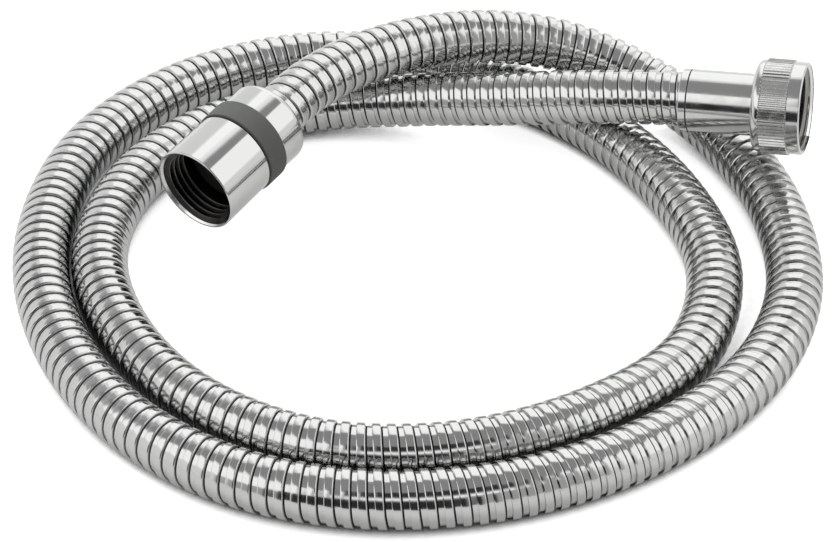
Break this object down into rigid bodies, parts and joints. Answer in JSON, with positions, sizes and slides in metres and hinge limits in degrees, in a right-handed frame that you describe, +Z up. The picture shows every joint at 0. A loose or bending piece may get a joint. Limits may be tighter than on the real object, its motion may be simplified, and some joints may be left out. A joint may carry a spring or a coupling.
{
  "type": "shower hose",
  "caption": "Chrome spiral-armoured shower hose in two loose turns, with a knurled supply nut and a smooth handset nut that turn on their ferrules.",
  "frame": {"origin": "centre of the footprint, on the surface that the hose lies on", "axes": "+Z up, +X along the longer side of the footprint and towards the supply nut, +Y away from the side the picture was taken from"},
  "size_m": [0.2006, 0.1906, 0.0388],
  "materials": {
    "armour": "polished chromed strip",
    "liner": "matte black rubber",
    "fitting_chrome": "polished chrome on brass",
    "insert_brass": "turned brass",
    "washer_rubber": "matte black rubber",
    "grip_rubber": "matte grey rubber"
  },
  "bodies": {
    "hose": {"hose_armour": "armour", "hose_liner": "liner", "supply_ferrule": "fitting_chrome", "supply_insert": "insert_brass", "handset_ferrule": "fitting_chrome", "handset_insert": "insert_brass", "rear_collar": "fitting_chrome", "grip_ring": "grip_rubber"},
    "handset_swivel": {"handset_nut": "fitting_chrome", "handset_washer": "washer_rubber"},
    "supply_swivel": {"supply_nut": "fitting_chrome", "supply_washer": "washer_rubber"}
  },
  "joints": [
    {"name": "handset_nut_turn", "type": "hinge", "parent": "hose", "child": "handset_swivel", "pos_m": [-0.0352, 0.0404, 0.0231], "axis": [-0.5834, -0.803, -0.1219], "continuous": true},
    {"name": "supply_nut_turn", "type": "hinge", "parent": "hose", "child": "supply_swivel", "pos_m": [0.0675, 0.0445, 0.0245], "axis": [0.9623, -0.2578, 0.0872], "continuous": true}
  ]
}
